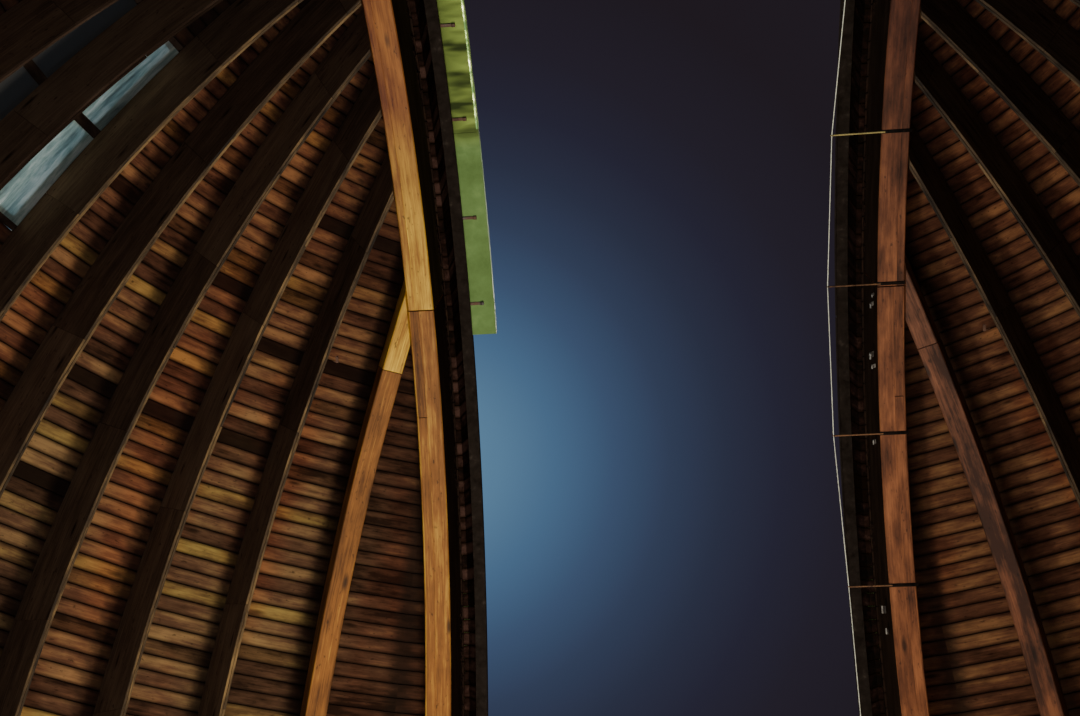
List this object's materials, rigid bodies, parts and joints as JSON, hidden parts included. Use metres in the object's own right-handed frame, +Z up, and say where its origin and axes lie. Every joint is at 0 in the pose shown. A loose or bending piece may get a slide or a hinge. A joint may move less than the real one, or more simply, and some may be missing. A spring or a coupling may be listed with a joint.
{
  "type": "observatory dome building",
  "caption": "Round plastered base wall with a turning timber dome, ribbed and boarded inside, with an open viewing slit, sliding curved leaves, and a small window.",
  "frame": {"origin": "on the ground under the middle of the dome, where the base rests", "axes": "+Z up, +Y towards the slit, +X to the right of someone who looks out through the slit"},
  "size_m": [8.4812, 8.6166, 7.332],
  "materials": {
    "plaster": "lime plaster, weathered",
    "concrete": "trowelled concrete",
    "painted_timber": "old oil paint on timber",
    "beam_timber": "varnished softwood, darkened",
    "rib_timber": "sawn softwood, darkened",
    "boards": "sawn boards, stained brown",
    "zinc_skin": "weathered sheet metal",
    "leaf_sheet": "pale green painted sheet",
    "glass": "dusty window glass",
    "iron": "dark painted iron with rust"
  },
  "bodies": {
    "base": {"wall_front_left": "plaster", "wall_rear_left": "plaster", "wall_rear_right": "plaster", "wall_front_right": "plaster", "wall_over_door": "plaster", "floor": "concrete", "door_frame": "painted_timber", "door": "painted_timber", "wall_plate": "beam_timber", "wheel_bed": "iron"},
    "dome": {"foot_ring": "beam_timber", "track": "iron", "main_beam_left": "beam_timber", "main_beam_right": "beam_timber", "ribs_front_left": "rib_timber", "ribs_front_right": "rib_timber", "ribs_middle_left": "rib_timber", "ribs_middle_right": "rib_timber", "ribs_rear_left": "rib_timber", "ribs_rear_right": "rib_timber", "brace_front_left": "beam_timber", "brace_front_right": "beam_timber", "brace_rear_left": "beam_timber", "brace_rear_right": "beam_timber", "ribs_behind_slit": "rib_timber", "studs_under_slit": "rib_timber", "slit_sill": "beam_timber", "slit_header": "beam_timber", "boarding_front_left": "boards", "boarding_rear_left": "boards", "boarding_rear_right": "boards", "boarding_front_right": "boards", "skin_front_left": "zinc_skin", "skin_rear_left": "zinc_skin", "skin_rear_right": "zinc_skin", "skin_front_right": "zinc_skin", "slit_upstand_left": "beam_timber", "slit_upstand_right": "beam_timber", "window_frame": "painted_timber", "window_glass": "glass", "rail_below_slit": "iron", "rail_behind_slit": "iron", "rail_beside_slit_left": "iron", "rail_beside_slit_right": "iron", "slit_wire": "iron", "drip_band": "zinc_skin"},
    "upper_left_leaf": {"leaf_upper_left": "leaf_sheet"},
    "upper_right_leaf": {"leaf_upper_right": "leaf_sheet"},
    "lower_left_leaf": {"leaf_lower_left": "leaf_sheet"},
    "lower_right_leaf": {"leaf_lower_right": "leaf_sheet"}
  },
  "joints": [
    {"name": "dome_rotation", "type": "hinge", "parent": "base", "child": "dome", "pos_m": [0, 0, 2.75], "axis": [0, 0, 1], "continuous": true},
    {"name": "upper_left_leaf_slide", "type": "slide", "parent": "dome", "child": "upper_left_leaf", "axis": [1, 0, 0], "range_m": [-0.146, 0.933]},
    {"name": "upper_right_leaf_slide", "type": "slide", "parent": "dome", "child": "upper_right_leaf", "axis": [-1, 0, 0], "range_m": [0, 1.079]},
    {"name": "lower_left_leaf_slide", "type": "slide", "parent": "dome", "child": "lower_left_leaf", "axis": [1, 0, 0], "range_m": [0, 1.079]},
    {"name": "lower_right_leaf_slide", "type": "slide", "parent": "dome", "child": "lower_right_leaf", "axis": [-1, 0, 0], "range_m": [0, 1.079]}
  ]
}
